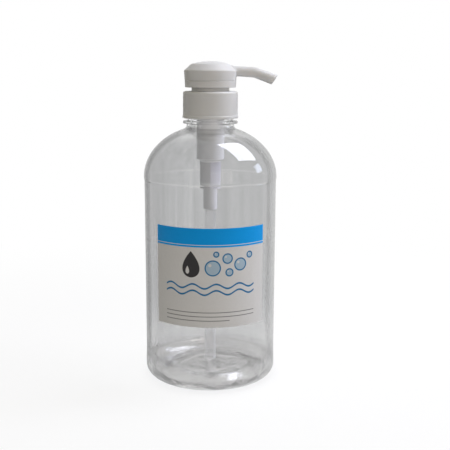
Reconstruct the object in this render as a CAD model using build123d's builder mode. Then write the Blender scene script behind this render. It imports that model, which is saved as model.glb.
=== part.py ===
from build123d import *
from math import acos, cos, degrees, pi, radians, sin, sqrt, tan
import os

# Soap pump dispenser: a clear round bottle with a screw-on lotion pump, its head pressed down.
# Millimetres, +Z up, origin at the centre of the foot ring, spout along +X, label towards -Y.

# Bottle body
body_radius = 42.5
body_wall = 0.9
heel_radius = 7.0
foot_width = 6.0
punt_height = 5.0
punt_run = 5.0
gate_radius = 2.2
gate_height = 0.8
panel_bottom = 9.0
panel_depth = 0.3
shoulder_height = 131.0
shoulder_band = 1.0
dome_rise = 33.0

# Bottle neck and its finish
neck_radius = 15.05
neck_length = 2.9
ring_radius = 17.4
ring_thickness = 1.7
ring_rounding = 0.5
finish_radius = 14.55
finish_height = 14.35
finish_bore = 12.7

# Screw thread, shared by bottle and collar
thread_pitch = 4.233
thread_turns = 1.5
thread_depth = 1.35
thread_root_width = 2.2
thread_crest_width = 0.9
thread_drop = 2.45
thread_clearance = 0.25
thread_root_sink = 0.3

# Label
label_height = 61.8
label_bottom = 42.9
label_arc = 100.0
label_thickness = 0.12
label_gap = 0.03

# Collar
collar_gap = 1.65
collar_wall = 1.15
collar_flare = 0.4
collar_plate = 1.46
collar_play = 0.2
collar_rim_height = 1.9
collar_rim_step = 0.2
collar_rounding = 1.3
collar_hole_clearance = 0.3

# Pump housing
gasket_thickness = 0.8
gasket_width = 2.4
flange_thickness = 1.6
spigot_height = 4.3
housing_wall = 1.25
chamber_bore = 7.6
chamber_length = 40.45
spring_bore = 5.5
spring_well_length = 15.95
step_wall = 1.2
step_slope = 1.0
vent_radius = 0.8
vent_drop = 5.6
seat_angle = 40.0
orifice_radius = 1.8
orifice_length = 1.2
tube_socket_depth = 7.0
socket_wall = 0.9

# Inlet ball, its cage and the dip tube
ball_radius = 2.6
ball_lift = 2.0
ball_side_gap = 0.7
ball_end_gap = 0.05
cage_thickness = 1.6
cage_stub_radius = 1.0
cage_stub_length = 1.8
cage_slot_radius = 0.9
cage_slot_circle = 3.3
cage_slot_count = 5
tube_radius = 3.6
tube_wall = 0.9
tube_floor_gap = 2.6

# Return spring
spring_radius = 4.3
spring_wire = 0.8
spring_length = 15.2
spring_turns = 7.5
spring_end_gap = 0.03

# Plunger and piston
running_gap = 0.05
fixed_gap = 0.03
stem_radius = 4.0
stem_wall = 1.6
rod_flange_radius = 5.2
rod_flange_thickness = 1.2
rod_pin_radius = 3.0
rod_pin_length = 4.0
rod_grip = 16.0
rod_flat_depth = 0.7
piston_float = 1.2
piston_hub_height = 6.4
piston_hub_wall = 1.6
piston_web = 1.4
piston_lip_wall = 0.8
piston_lip_height = 8.0
piston_lip_relief = 0.45

# Chaplet and its locking lugs
chaplet_radius = 11.9
chaplet_catch = 0.9
chaplet_wall = 2.7
chaplet_floor = 1.3
chaplet_lip = 0.4
seal_thickness = 1.6
lug_thickness = 1.6
lug_depth = 1.1
lug_play = 1.4
chaplet_lug_arc = 50.0
skirt_lug_arc = 60.0

# Head
head_gap = 2.35
head_foot_radius = 16.0
head_seam_radius = 16.25
head_wall_radius = 16.65
head_shell = 1.6
skirt_height = 4.1
skirt_wall = 2.1
skirt_lug_level = 1.4
spigot_wall = 1.1
spigot_rise = 2.5
seam_chamfer = 0.25
head_wall_height = 10.4
bevel_run = 4.65
bevel_rise = 4.1
crown_rise = 1.7
bevel_rounding = 0.8
crown_rounding = 3.0
socket_thickness = 2.4
socket_clearance = 0.6

# Spout
spout_radius = 3.1
spout_bore = 1.9
spout_level = 10.8
spout_knee_reach = 27.5
spout_knee_drop = 1.4
spout_reach = 40.0
spout_tip_drop = 6.3
spout_bend_radius = 12.0
spout_cut_angle = 36.0
spout_overrun = 6.0

# Heights from the bottle up through the neck
neck_base = shoulder_height + dome_rise * sqrt(1 - (neck_radius / body_radius) ** 2)
ring_bottom = neck_base + neck_length
ring_top = ring_bottom + ring_thickness
lip_top = ring_top + finish_height
thread_start = lip_top - thread_drop - thread_turns * thread_pitch
thread_crest_radius = finish_radius + thread_depth

# Heights of the pump, hung from the bottle's lip
flange_bottom = lip_top + gasket_thickness
flange_top = flange_bottom + flange_thickness
housing_top = flange_top + spigot_height
collar_bottom = ring_top + collar_gap
collar_plate_bottom = flange_top + collar_play
collar_top = collar_plate_bottom + collar_plate
chamber_radius = chamber_bore + housing_wall
chamber_bottom = flange_bottom - chamber_length
spring_well_radius = spring_bore + housing_wall
spring_well_bottom = chamber_bottom - spring_well_length
spring_floor = spring_well_bottom + step_wall
cage_top = spring_floor + cage_thickness

# The ball rests on a conical seat, one end gap clear of it
seat_lean = radians(seat_angle)
seat_contact_rise = (ball_radius * cos(seat_lean) - orifice_radius) / tan(seat_lean)
ball_seat_rise = seat_contact_rise + ball_radius * sin(seat_lean) + ball_end_gap
ball_centre = spring_floor - cage_stub_length - ball_end_gap - ball_lift - ball_radius
orifice_top = ball_centre - ball_seat_rise
ball_pocket_radius = ball_radius + ball_side_gap
seat_top = orifice_top + (ball_pocket_radius - orifice_radius) / tan(seat_lean)
tube_stop = orifice_top - orifice_length
housing_bottom = tube_stop - tube_socket_depth
tube_socket_radius = tube_radius + fixed_gap
housing_foot_radius = tube_socket_radius + socket_wall
bottle_floor = punt_height + body_wall

# Plunger, standing on the spring, and the stack up into the head
rod_flange_bottom = cage_top + spring_length
rod_flange_top = rod_flange_bottom + rod_flange_thickness
stem_bottom = rod_flange_top + piston_hub_height + piston_float
stem_bore = stem_radius - stem_wall
rod_radius = stem_bore - fixed_gap
chaplet_floor_bottom = housing_top + seal_thickness
chaplet_floor_top = chaplet_floor_bottom + chaplet_floor
head_bottom = collar_top + head_gap
head_seam = head_bottom + skirt_height
skirt_bore = head_foot_radius - skirt_wall
skirt_lug_bottom = head_bottom + skirt_lug_level
chaplet_lug_bottom = skirt_lug_bottom + lug_thickness + lug_play
chaplet_lug_top = chaplet_lug_bottom + lug_thickness
chaplet_top = chaplet_lug_top + chaplet_lip
spout_height = head_bottom + spout_level
stem_top = spout_height - spout_bore


def radial_plane(angle):
    """Upright plane through the Z axis, its local X pointing out at the given angle."""
    turn = radians(angle)
    return Plane((0, 0, 0), x_dir=(cos(turn), sin(turn), 0), z_dir=(sin(turn), -cos(turn), 0))


def thread_section(path, depth, root_width, crest_width):
    """Outline of a thread at the start of its helix, depth counted outwards and inwards if negative."""
    sink = -thread_root_sink if depth > 0 else thread_root_sink
    plane = Plane(path @ 0, x_dir=(1, 0, 0), z_dir=path % 0)
    with BuildSketch(plane) as section:
        with BuildLine():
            Polyline(
                (sink, -root_width / 2),
                (0, -root_width / 2),
                (depth, -crest_width / 2),
                (depth, crest_width / 2),
                (0, root_width / 2),
                (sink, root_width / 2),
                close=True,
            )
        make_face()
    return section.sketch


def lug_ring(inner, outer, bottom, arc, middle):
    """Pair of opposite lugs, each an arc of a ring, added to the part being built."""
    for angle in (middle, middle + 180):
        with BuildSketch(radial_plane(angle - arc / 2)) as section:
            with Locations((inner, bottom)):
                Rectangle(outer - inner, lug_thickness, align=(Align.MIN, Align.MIN))
        revolve(section.sketch, axis=Axis.Z, revolution_arc=arc)


# Bottle: thin round shell with a domed shoulder, a foot ring round a raised punt, and a threaded neck
with BuildPart() as bottle:
    foot_outer = body_radius - heel_radius
    foot_inner = foot_outer - foot_width
    punt_edge = foot_inner - punt_run
    panel_radius = body_radius - panel_depth
    panel_top = shoulder_height - shoulder_band
    inner_radius = body_radius - body_wall
    inner_rise = dome_rise - body_wall
    bore_base = shoulder_height + inner_rise * sqrt(1 - (finish_bore / inner_radius) ** 2)
    gate_bottom = punt_height - gate_height
    with BuildSketch(Plane.XZ):
        with BuildLine():
            Polyline(
                (0, gate_bottom),
                (gate_radius, gate_bottom),
                (gate_radius, punt_height),
                (punt_edge, punt_height),
                (foot_inner, 0),
                (foot_outer, 0),
            )
            CenterArc((foot_outer, heel_radius), heel_radius, -90, 90)
            Polyline(
                (body_radius, heel_radius),
                (body_radius, panel_bottom),
                (panel_radius, panel_bottom + panel_depth),
                (panel_radius, panel_top - panel_depth),
                (body_radius, panel_top),
                (body_radius, shoulder_height),
            )
            EllipticalCenterArc(
                (0, shoulder_height), body_radius, dome_rise, arc_size=degrees(acos(neck_radius / body_radius))
            )
            Polyline(
                (neck_radius, neck_base),
                (neck_radius, ring_bottom),
                (ring_radius, ring_bottom),
                (ring_radius, ring_top),
                (finish_radius, ring_top),
                (finish_radius, lip_top),
                (finish_bore, lip_top),
                (finish_bore, bore_base),
            )
            EllipticalCenterArc(
                (0, shoulder_height), inner_radius, inner_rise, arc_size=degrees(acos(finish_bore / inner_radius))
            )
            Line((inner_radius, shoulder_height), (inner_radius, heel_radius))
            CenterArc((foot_outer, heel_radius), heel_radius - body_wall, -90, 90)
            Polyline(
                (foot_outer, body_wall),
                (foot_inner, body_wall),
                (punt_edge, bottle_floor),
                (0, bottle_floor),
                (0, gate_bottom),
            )
        make_face()
    revolve(axis=Axis.Z)
    ring_edges = bottle.edges().filter_by(GeomType.CIRCLE).filter_by(
        lambda edge: abs(edge.radius - ring_radius) < ring_rounding
        and ring_bottom - ring_rounding < edge.arc_center.Z < ring_top + ring_rounding
    )
    fillet(ring_edges, ring_rounding)
    bottle_helix = Helix(
        thread_pitch, thread_turns * thread_pitch, finish_radius, (0, 0, thread_start), mode=Mode.PRIVATE
    )
    sweep(
        thread_section(bottle_helix, thread_depth, thread_root_width, thread_crest_width),
        path=bottle_helix,
        is_frenet=True,
    )

# Label: thin sheet round the front of the recessed panel
with BuildPart() as front_label:
    label_radius = panel_radius + label_gap
    with BuildSketch(radial_plane(-90 - label_arc / 2)):
        with Locations((label_radius, label_bottom)):
            Rectangle(label_thickness, label_height, align=(Align.MIN, Align.MIN))
    revolve(axis=Axis.Z, revolution_arc=label_arc)

# Collar: screw cap with an open top, a rim at its foot and an inside thread
with BuildPart() as closure_collar:
    collar_bore = thread_crest_radius + thread_clearance
    collar_radius = collar_bore + collar_wall
    collar_rim_radius = collar_radius + collar_flare
    collar_rim_top = collar_bottom + collar_rim_height
    collar_hole = chaplet_radius - chaplet_catch + collar_hole_clearance
    with BuildSketch(Plane.XZ):
        with BuildLine():
            Polyline(
                (collar_bore, collar_bottom),
                (collar_rim_radius, collar_bottom),
                (collar_rim_radius, collar_rim_top),
                (collar_rim_radius - collar_rim_step, collar_rim_top + collar_rim_step),
                (collar_radius, collar_top),
                (collar_hole, collar_top),
                (collar_hole, collar_plate_bottom),
                (collar_bore, collar_plate_bottom),
                close=True,
            )
        make_face()
    revolve(axis=Axis.Z)
    top_edge = closure_collar.edges().filter_by(GeomType.CIRCLE).group_by(Axis.Z)[-1].sort_by(SortBy.RADIUS)[-1]
    fillet(top_edge, min(collar_rounding, 0.9 * collar_plate))
    collar_helix = Helix(
        thread_pitch,
        thread_turns * thread_pitch,
        collar_bore,
        (0, 0, thread_start - thread_pitch / 2),
        mode=Mode.PRIVATE,
    )
    sweep(
        thread_section(
            collar_helix,
            finish_radius + thread_clearance - collar_bore,
            thread_root_width - thread_clearance,
            thread_crest_width - thread_clearance / 2,
        ),
        path=collar_helix,
        is_frenet=True,
    )

# Gasket: flat washer on the bottle's lip
with BuildPart() as neck_gasket:
    with BuildSketch(Plane.XY.offset(lip_top + fixed_gap)):
        Circle(finish_radius)
        Circle(finish_radius - gasket_width, mode=Mode.SUBTRACT)
    extrude(amount=gasket_thickness - fixed_gap)

# Housing: stepped cylinder with a flange on the gasket, a ball seat and a socket for the dip tube
with BuildPart() as pump_housing:
    with BuildSketch(Plane.XZ):
        with BuildLine():
            Polyline(
                (chamber_bore, housing_top),
                (chamber_radius, housing_top),
                (chamber_radius, flange_top),
                (finish_radius, flange_top),
                (finish_radius, flange_bottom),
                (chamber_radius, flange_bottom),
                (chamber_radius, chamber_bottom + step_slope),
                (spring_well_radius, chamber_bottom),
                (spring_well_radius, spring_well_bottom),
                (housing_foot_radius, spring_well_bottom),
                (housing_foot_radius, housing_bottom),
                (tube_socket_radius, housing_bottom),
                (tube_socket_radius, tube_stop),
                (orifice_radius, tube_stop),
                (orifice_radius, orifice_top),
                (ball_pocket_radius, seat_top),
                (ball_pocket_radius, spring_floor),
                (spring_bore, spring_floor),
                (spring_bore, chamber_bottom + step_wall),
                (chamber_bore, chamber_bottom + step_wall + step_slope),
                close=True,
            )
        make_face()
    revolve(axis=Axis.Z)
    with BuildSketch(Plane.YZ):
        with Locations((0, flange_bottom - vent_drop)):
            Circle(vent_radius)
    extrude(amount=chamber_radius + housing_wall, mode=Mode.SUBTRACT)

# Dip tube: plain tube from the housing's socket to just above the bottle's floor
with BuildPart() as dip_tube:
    tube_bottom = bottle_floor + tube_floor_gap
    with BuildSketch(Plane.XY.offset(tube_bottom)):
        Circle(tube_radius)
        Circle(tube_radius - tube_wall, mode=Mode.SUBTRACT)
    extrude(amount=tube_stop - fixed_gap - tube_bottom)

# Inlet ball on its seat
with BuildPart() as inlet_ball:
    with BuildSketch(Plane.XZ):
        with BuildLine():
            CenterArc((0, ball_centre), ball_radius, -90, 180)
            Line((0, ball_centre + ball_radius), (0, ball_centre - ball_radius))
        make_face()
    revolve(axis=Axis.Z)

# Ball cage: slotted disc on the housing's step, with a stub that stops the ball
with BuildPart() as ball_cage:
    with BuildSketch(Plane.XY.offset(spring_floor)):
        Circle(spring_bore - fixed_gap)
        with PolarLocations(cage_slot_circle, cage_slot_count):
            Circle(cage_slot_radius, mode=Mode.SUBTRACT)
    extrude(amount=cage_thickness)
    with BuildSketch(Plane.XY.offset(spring_floor - cage_stub_length)):
        Circle(cage_stub_radius)
    extrude(amount=cage_stub_length)


def coil_point(turn, radius, bottom, rise):
    """Point of a helix after the given turns, which climbs by rise in one turn."""
    angle = 2 * pi * turn
    return Vector(radius * cos(angle), radius * sin(angle), bottom + rise * turn)


def coil_tangent(turn, radius, rise):
    """Unit tangent of that helix."""
    angle = 2 * pi * turn
    return Vector(-2 * pi * radius * sin(angle), 2 * pi * radius * cos(angle), rise).normalized()


def biarc_joint(start, end, start_tangent, end_tangent):
    """Point and tangent where two equal-handled arcs from start to end meet."""
    chord = end - start
    both = start_tangent + end_tangent
    square = 2 * start_tangent.dot(end_tangent) - 2
    linear = chord.dot(both)
    handle = (linear - sqrt(linear**2 - square * chord.dot(chord))) / square
    first = start + start_tangent * handle
    second = end - end_tangent * handle
    return (first + second) * 0.5, (second - first).normalized()


# Return spring: one open-ended coil between the cage and the rod's flange
with BuildPart() as return_spring:
    coil_bottom = cage_top + spring_end_gap + spring_wire / 2
    coil_rise = (spring_length - 2 * spring_end_gap - spring_wire) / spring_turns
    with BuildLine() as coil_path:
        for quarter in range(round(4 * spring_turns)):
            start = coil_point(quarter / 4, spring_radius, coil_bottom, coil_rise)
            end = coil_point((quarter + 1) / 4, spring_radius, coil_bottom, coil_rise)
            start_tangent = coil_tangent(quarter / 4, spring_radius, coil_rise)
            end_tangent = coil_tangent((quarter + 1) / 4, spring_radius, coil_rise)
            joint, joint_tangent = biarc_joint(start, end, start_tangent, end_tangent)
            TangentArc(start, joint, tangent=start_tangent)
            TangentArc(joint, end, tangent=joint_tangent)
    with BuildSketch(Plane(coil_path.line @ 0, z_dir=coil_path.line % 0)):
        Circle(spring_wire / 2)
    sweep(path=coil_path.line)

# Stem: hollow tube from the piston up into the head's socket
with BuildPart() as plunger_stem:
    with BuildSketch(Plane.XY.offset(stem_bottom)):
        Circle(stem_radius)
        Circle(stem_bore, mode=Mode.SUBTRACT)
    extrude(amount=stem_top - stem_bottom)

# Rod: pressed into the stem, with two flats for the soap and a flange on the spring
with BuildPart() as piston_rod:
    rod_top = stem_bottom + rod_grip
    with BuildSketch(Plane.XY.offset(rod_flange_top)):
        Circle(rod_radius)
        with Locations((rod_radius, 0), (-rod_radius, 0)):
            Rectangle(2 * rod_flat_depth, 2 * rod_radius, mode=Mode.SUBTRACT)
    extrude(amount=rod_top - rod_flange_top)
    with BuildSketch(Plane.XY.offset(rod_flange_bottom)):
        Circle(rod_flange_radius)
    extrude(amount=rod_flange_thickness)
    with BuildSketch(Plane.XY.offset(rod_flange_bottom - rod_pin_length)):
        Circle(rod_pin_radius)
    extrude(amount=rod_pin_length)

# Piston: hub that floats on the rod, joined by a web to an outer skirt with a lip at each end
with BuildPart() as piston_seal:
    hub_bottom = rod_flange_top + fixed_gap
    hub_top = hub_bottom + piston_hub_height - fixed_gap
    hub_bore = rod_radius + running_gap
    hub_radius = hub_bore + piston_hub_wall
    lip_radius = chamber_bore - running_gap
    waist_radius = lip_radius - piston_lip_relief
    skirt_inner = waist_radius - piston_lip_wall
    web_bottom = hub_bottom + (piston_hub_height - piston_web) / 2
    skirt_top = hub_bottom + piston_lip_height
    skirt_middle = (hub_bottom + skirt_top) / 2
    with BuildSketch(Plane.XZ):
        with BuildLine():
            Polyline(
                (hub_bore, hub_bottom),
                (hub_radius, hub_bottom),
                (hub_radius, web_bottom),
                (skirt_inner, web_bottom),
                (waist_radius, hub_bottom),
                (lip_radius, hub_bottom),
                (waist_radius, skirt_middle),
                (lip_radius, skirt_top),
                (waist_radius, skirt_top),
                (skirt_inner, web_bottom + piston_web),
                (hub_radius, web_bottom + piston_web),
                (hub_radius, hub_top),
                (hub_bore, hub_top),
                close=True,
            )
        make_face()
    revolve(axis=Axis.Z)

# Stem seal: washer clamped between the housing's top and the chaplet's floor
with BuildPart() as stem_seal:
    with BuildSketch(Plane.XY.offset(housing_top)):
        Circle(chamber_radius - fixed_gap)
        Circle(stem_radius + running_gap, mode=Mode.SUBTRACT)
    extrude(amount=seal_thickness)

# Chaplet: cup that holds the collar down on the housing and guides the stem, with two locking lugs
with BuildPart() as lock_chaplet:
    chaplet_foot_radius = chaplet_radius - chaplet_catch
    chaplet_foot = flange_top + fixed_gap
    chaplet_step = collar_top + fixed_gap
    chaplet_bore = chamber_radius + fixed_gap
    cup_radius = chaplet_radius - chaplet_wall
    with BuildSketch(Plane.XZ):
        with BuildLine():
            Polyline(
                (chaplet_bore, chaplet_foot),
                (chaplet_foot_radius, chaplet_foot),
                (chaplet_foot_radius, chaplet_step),
                (chaplet_radius, chaplet_step),
                (chaplet_radius, chaplet_top),
                (cup_radius, chaplet_top),
                (cup_radius, chaplet_floor_top),
                (stem_radius + running_gap, chaplet_floor_top),
                (stem_radius + running_gap, chaplet_floor_bottom),
                (chaplet_bore, chaplet_floor_bottom),
                close=True,
            )
        make_face()
    revolve(axis=Axis.Z)
    lug_ring(chaplet_radius - lug_depth, chaplet_radius + lug_depth, chaplet_lug_bottom, chaplet_lug_arc, 90)

# Head skirt: lower ring of the head, with a spigot up into the head and two locking lugs inside
with BuildPart() as head_skirt:
    spigot_radius = skirt_bore + spigot_wall
    with BuildSketch(Plane.XZ):
        with BuildLine():
            Polyline(
                (skirt_bore, head_bottom),
                (head_foot_radius, head_bottom),
                (head_seam_radius, head_seam - seam_chamfer),
                (head_seam_radius - seam_chamfer, head_seam),
                (spigot_radius, head_seam),
                (spigot_radius, head_seam + spigot_rise),
                (skirt_bore, head_seam + spigot_rise),
                close=True,
            )
        make_face()
    revolve(axis=Axis.Z)
    skirt_lug_inner = skirt_bore - lug_depth - lug_play / 2
    lug_ring(skirt_lug_inner, skirt_bore + lug_depth, skirt_lug_bottom, skirt_lug_arc, 0)

# Head: hollow cap with a bevelled crown, a socket for the stem and a bent spout
with BuildPart() as actuator_head:
    head_wall_top = head_bottom + head_wall_height
    bevel_top = head_wall_top + bevel_rise
    bevel_radius = head_wall_radius - bevel_run
    crown_top = bevel_top + crown_rise
    cavity_radius = spigot_radius + fixed_gap
    crown_curve = (bevel_radius**2 + crown_rise**2) / (2 * crown_rise)
    with BuildSketch(Plane.XZ):
        with BuildLine():
            Polyline(
                (0, head_seam),
                (head_seam_radius - seam_chamfer, head_seam),
                (head_seam_radius, head_seam + seam_chamfer),
                (head_wall_radius, head_wall_top),
                (bevel_radius, bevel_top),
            )
            RadiusArc((bevel_radius, bevel_top), (0, crown_top), -crown_curve)
            Line((0, crown_top), (0, head_seam))
        make_face()
    revolve(axis=Axis.Z)
    rims = actuator_head.edges().filter_by(GeomType.CIRCLE)
    fillet(rims.filter_by(lambda edge: abs(edge.arc_center.Z - head_wall_top) < seam_chamfer), bevel_rounding)
    rims = actuator_head.edges().filter_by(GeomType.CIRCLE)
    fillet(rims.filter_by(lambda edge: abs(edge.arc_center.Z - bevel_top) < seam_chamfer), crown_rounding)
    with BuildSketch(Plane.XZ):
        with BuildLine():
            Polyline(
                (0, head_seam),
                (cavity_radius, head_seam),
                (cavity_radius, head_wall_top - head_shell / 2),
                (bevel_radius - head_shell / 2, bevel_top - head_shell),
                (0, bevel_top - head_shell),
                close=True,
            )
        make_face()
    revolve(axis=Axis.Z, mode=Mode.SUBTRACT)
    socket_bottom = chaplet_floor_top + socket_clearance
    with BuildSketch(Plane.XY.offset(socket_bottom)):
        Circle(stem_radius + socket_thickness)
    extrude(amount=bevel_top - socket_bottom)
    knee = (spout_knee_reach, spout_height - spout_knee_drop)
    tip = (spout_reach, spout_height - spout_tip_drop)
    tip_run = Vector(tip[0] - knee[0], tip[1] - knee[1]).normalized()
    overrun = (tip[0] + tip_run.X * spout_overrun, tip[1] + tip_run.Y * spout_overrun)
    with BuildLine(Plane.XZ) as spout_path:
        FilletPolyline((0, spout_height), knee, overrun, radius=spout_bend_radius)
    spout_root = Plane(spout_path.line @ 0, z_dir=spout_path.line % 0)
    with BuildSketch(spout_root):
        Circle(spout_radius)
    sweep(path=spout_path.line)
    with BuildSketch(spout_root):
        Circle(spout_bore)
    sweep(path=spout_path.line, mode=Mode.SUBTRACT)
    with BuildSketch(Plane.XY.offset(socket_bottom)):
        Circle(stem_radius + running_gap)
    extrude(amount=stem_top + running_gap - socket_bottom, mode=Mode.SUBTRACT)
    with BuildSketch(Plane.XY.offset(stem_top)):
        Circle(spout_bore)
    extrude(amount=spout_height - stem_top, mode=Mode.SUBTRACT)
    cut_lean = radians(spout_cut_angle)
    split(
        bisect_by=Plane((tip[0], 0, tip[1]), z_dir=(cos(cut_lean), 0, -sin(cut_lean))),
        keep=Keep.BOTTOM,
    )

# Least gap between neighbouring turns of the spring, measured on points of the wire's centre line
coil_steps = 48
coil_points = [
    coil_point(step / coil_steps, spring_radius, coil_bottom, coil_rise)
    for step in range(round(coil_steps * spring_turns) + 1)
]
coil_gap = min(
    (first - second).length
    for index, first in enumerate(coil_points)
    for second in coil_points[index + coil_steps // 2 :]
)
print("return spring least gap to itself", round(coil_gap - spring_wire, 3))

# Written pieces, each under its own name
pieces = {
    "bottle": bottle,
    "front_label": front_label,
    "closure_collar": closure_collar,
    "neck_gasket": neck_gasket,
    "pump_housing": pump_housing,
    "dip_tube": dip_tube,
    "inlet_ball": inlet_ball,
    "ball_cage": ball_cage,
    "return_spring": return_spring,
    "plunger_stem": plunger_stem,
    "piston_rod": piston_rod,
    "piston_seal": piston_seal,
    "stem_seal": stem_seal,
    "lock_chaplet": lock_chaplet,
    "head_skirt": head_skirt,
    "actuator_head": actuator_head,
}
os.makedirs("parts", exist_ok=True)
for name, piece in pieces.items():
    piece.part.label = name
    export_step(piece.part, f"parts/{name}.step")
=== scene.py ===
import bmesh
import bpy
import numpy as np
from math import acos, pi, radians
from mathutils import Matrix


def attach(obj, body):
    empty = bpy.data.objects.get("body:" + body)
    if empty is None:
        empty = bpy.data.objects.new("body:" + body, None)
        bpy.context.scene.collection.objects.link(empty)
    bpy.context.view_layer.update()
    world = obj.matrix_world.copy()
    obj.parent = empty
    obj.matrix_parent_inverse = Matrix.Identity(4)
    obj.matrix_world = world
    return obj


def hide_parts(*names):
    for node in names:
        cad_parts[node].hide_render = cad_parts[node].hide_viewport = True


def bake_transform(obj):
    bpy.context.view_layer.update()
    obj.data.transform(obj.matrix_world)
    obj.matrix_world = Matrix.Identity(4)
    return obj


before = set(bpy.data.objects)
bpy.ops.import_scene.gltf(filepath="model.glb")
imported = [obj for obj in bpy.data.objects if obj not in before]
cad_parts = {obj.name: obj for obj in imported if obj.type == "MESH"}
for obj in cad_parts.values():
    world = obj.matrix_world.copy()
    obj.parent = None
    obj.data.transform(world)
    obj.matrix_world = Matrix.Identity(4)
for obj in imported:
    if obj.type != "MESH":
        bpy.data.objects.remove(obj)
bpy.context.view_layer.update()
print("frame loaded")

mm = 0.001  # shapes are worked out in millimetres and written in metres
leastRadius = 1e-6  # of a corner that stays sharp
weldGap = 1e-7  # points closer than this become one, in metres
sameRadius = 1e-9  # rows closer than this to a radius lie on it


# shape tools

def unit(v):  # vectors scaled to length one
    return v / np.linalg.norm(v, axis=-1, keepdims=True)


def roundedRun(corners, closed=False, steps=7, guard=0.12, guardShare=0.4):
    # each corner (r, z, radius) becomes an arc tangent to its two straight runs, with a guard point
    # on either run, at most guardShare of the free length away from the arc
    table = np.asarray(corners, float)
    spot, radius = table[:, :2], np.maximum(table[:, 2:], leastRadius)
    back, ahead = np.roll(spot, 1, 0) - spot, np.roll(spot, -1, 0) - spot
    backRun = np.linalg.norm(back, axis=1, keepdims=True)
    aheadRun = np.linalg.norm(ahead, axis=1, keepdims=True)
    back, ahead = back / backRun, ahead / aheadRun
    half = np.arccos(np.clip((back * ahead).sum(1, keepdims=True), -1, 1)) / 2
    cut = radius / np.tan(half)
    backFree = backRun - cut - np.roll(cut, 1, 0)
    aheadFree = aheadRun - cut - np.roll(cut, -1, 0)
    hub = spot + unit(back + ahead) * radius / np.sin(half)
    first, last = (spot + back * cut - hub) / radius, (spot + ahead * cut - hub) / radius
    share, turn = np.linspace(0, 1, steps)[:, None], (pi - 2 * half)[:, None]
    arc = np.sin((1 - share) * turn) * first[:, None] + np.sin(share * turn) * last[:, None]
    arc = hub[:, None] + radius[:, None] * (arc / np.sin(turn))
    early = spot + back * (cut + np.minimum(guard, guardShare * backFree))
    late = spot + ahead * (cut + np.minimum(guard, guardShare * aheadFree))
    run = np.concatenate([early[:, None], arc, late[:, None]], 1)
    if closed:
        return run.reshape(-1, 2)
    return np.concatenate([spot[:1], run[1:-1].reshape(-1, 2), spot[-1:]])


def straight(start, stop, count):  # evenly spaced points on a straight run
    return np.linspace(start, stop, count)


def oval(centreHeight, radius, rise, fromAngle, toAngle, count):
    # quarter ellipse (radius cos e, centreHeight + rise sin e)
    e = np.radians(np.linspace(fromAngle, toAngle, count))
    return np.stack([radius * np.cos(e), centreHeight + rise * np.sin(e)], -1)


def roundAngles(steps):  # angles of the columns of a turned sheet
    return np.arange(steps) * 2 * pi / steps


def turned(r, z, steps):
    # (r, z) goes once round the Z axis: (r cos u, r sin u, z); r and z may also vary with u
    u = roundAngles(steps)
    return np.stack([r * np.cos(u), r * np.sin(u), z + 0 * u], -1)


def turnedRun(outline, steps):  # rows of (r, z) turned once round the Z axis
    return turned(outline[:, :1], outline[:, 1:], steps)


def arcBlock(section, fromAngle, toAngle, steps):
    # a closed section (r, z) carried along an arc round the Z axis, shut at both ends by its own middle
    u = np.radians(np.concatenate([[fromAngle], np.linspace(fromAngle, toAngle, steps), [toAngle]]))
    shut = np.concatenate([[0], np.ones(steps), [0]])
    middle = section.mean(0)
    r = middle[0] + (section[:, :1] - middle[0]) * shut
    z = middle[1] + (section[:, 1:] - middle[1]) * shut
    return np.stack([r * np.cos(u), r * np.sin(u), z], -1)


def threadLift(u, z, spec, fadeTurns=0.05):
    # share of a helical ridge's height: 1 on its crest, sloping to 0 at its root, faded out at both ends
    root, crest, lift = spec["threadRoot"], spec["threadCrest"], 0 * u + 0 * z
    for lap in range(2):
        turn = u / (2 * pi) + lap
        away = np.abs(z - spec["threadStart"] - spec["threadPitch"] * turn)
        flank = np.clip((root / 2 - away) / (root / 2 - crest / 2), 0, 1)
        fade = np.clip(turn / fadeTurns, 0, 1) * np.clip((spec["threadTurns"] - turn) / fadeTurns, 0, 1)
        lift = np.maximum(lift, flank * fade)
    return lift * lift * (3 - 2 * lift)


def makePiece(name, sheets, material, body=None, nodes=(), sharp=40):
    # a sheet is a grid of points in millimetres (rows, columns, 3) with closed or open rows and columns
    points, quads, start = [], [], 0
    for grid, closeRows, closeColumns in sheets:
        rows, columns = grid.shape[:2]
        i = np.arange(rows if closeRows else rows - 1)[:, None]
        j = np.arange(columns if closeColumns else columns - 1)
        down, across = (i + 1) % rows, (j + 1) % columns
        cells = [i * columns + j, i * columns + across, down * columns + across, down * columns + j]
        cells = np.stack(cells, -1).reshape(-1, 4)
        flat = grid.reshape(-1, 3)
        a, b, c, d = flat[cells].transpose(1, 0, 2)
        volume = (np.cross(a, b) * c).sum() + (np.cross(a, c) * d).sum()  # six times the signed volume
        quads.append(start + (cells if volume > 0 else cells[:, ::-1]))
        points.append(flat)
        start += len(flat)
    mesh = bpy.data.meshes.new(name)
    mesh.from_pydata((np.concatenate(points) * mm).tolist(), [], np.concatenate(quads).tolist())
    shell = bmesh.new()
    shell.from_mesh(mesh)
    bmesh.ops.remove_doubles(shell, verts=shell.verts, dist=weldGap)  # closes the poles
    shell.to_mesh(mesh)
    shell.free()
    mesh.shade_smooth()
    mesh.set_sharp_from_angle(angle=radians(sharp))
    mesh.materials.append(material)
    piece = bpy.data.objects.new(name, mesh)
    bpy.context.scene.collection.objects.link(piece)
    if body:
        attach(piece, body)
    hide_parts(*nodes)
    print(name, len(mesh.polygons), "faces")
    return piece


# shader tools

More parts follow.
